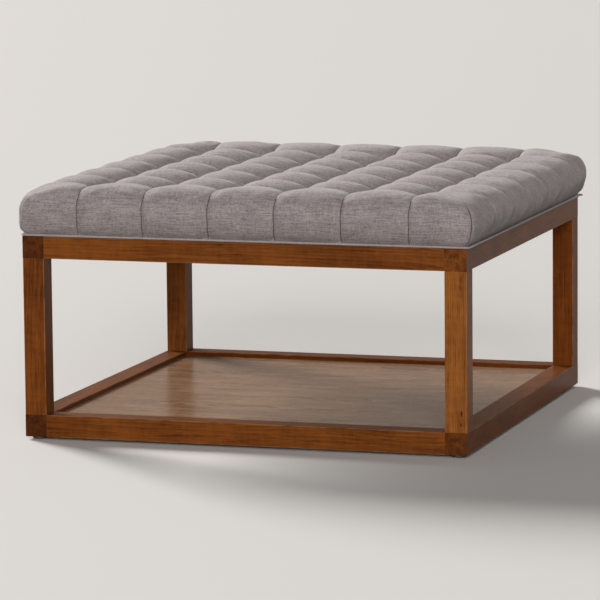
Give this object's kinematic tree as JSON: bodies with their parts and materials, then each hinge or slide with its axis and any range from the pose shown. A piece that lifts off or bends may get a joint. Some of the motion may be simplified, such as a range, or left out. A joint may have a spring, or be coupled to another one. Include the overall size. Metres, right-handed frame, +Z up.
{
  "type": "ottoman coffee table",
  "caption": "Square ottoman coffee table: a grid-tufted fabric seat on an open box frame of stained timber with a low inset shelf.",
  "frame": {"origin": "on the floor, under the middle of the table", "axes": "+X to the right and +Y to the back as seen from the front, where the side rails' end grain shows; +Z up"},
  "size_m": [0.8, 0.8, 0.4406],
  "materials": {
    "stained_wood": "satin",
    "shelf_veneer": "satin",
    "plain_hardwood": "matte",
    "dowel_wood": "matte",
    "plywood": "matte",
    "zinc_steel": "satin",
    "glide_plastic": "matte",
    "seat_fabric": "matte",
    "piping_fabric": "matte",
    "seat_foam": "matte",
    "fibre_wadding": "matte",
    "twine": "matte",
    "lining_cloth": "matte"
  },
  "bodies": {
    "root": {"back_rail_bottom": "stained_wood", "back_rail_top": "stained_wood", "corner_block_back_left": "plain_hardwood", "corner_block_back_right": "plain_hardwood", "corner_block_front_left": "plain_hardwood", "corner_block_front_right": "plain_hardwood", "corner_block_screws": "zinc_steel", "cover_staples": "zinc_steel", "dust_cover": "lining_cloth", "dust_cover_staples": "zinc_steel", "front_rail_bottom": "stained_wood", "front_rail_top": "stained_wood", "glide_nails": "zinc_steel", "glide_pads": "glide_plastic", "leg_back_left": "stained_wood", "leg_back_right": "stained_wood", "leg_dowels": "dowel_wood", "leg_front_left": "stained_wood", "leg_front_right": "stained_wood", "rail_dowels": "dowel_wood", "seat_board": "plywood", "seat_bolts": "zinc_steel", "seat_cover": "seat_fabric", "seat_foam": "seat_foam", "seat_inserts": "zinc_steel", "seat_piping": "piping_fabric", "seat_wadding": "fibre_wadding", "seat_washers": "zinc_steel", "shelf_cleat_back": "plain_hardwood", "shelf_cleat_front": "plain_hardwood", "shelf_cleat_left": "plain_hardwood", "shelf_cleat_right": "plain_hardwood", "shelf_cleat_screws": "zinc_steel", "shelf_panel": "shelf_veneer", "shelf_panel_screws": "zinc_steel", "side_rail_bottom_left": "stained_wood", "side_rail_bottom_right": "stained_wood", "side_rail_top_left": "stained_wood", "side_rail_top_right": "stained_wood", "tuft_ties": "twine"}
  },
  "joints": []
}
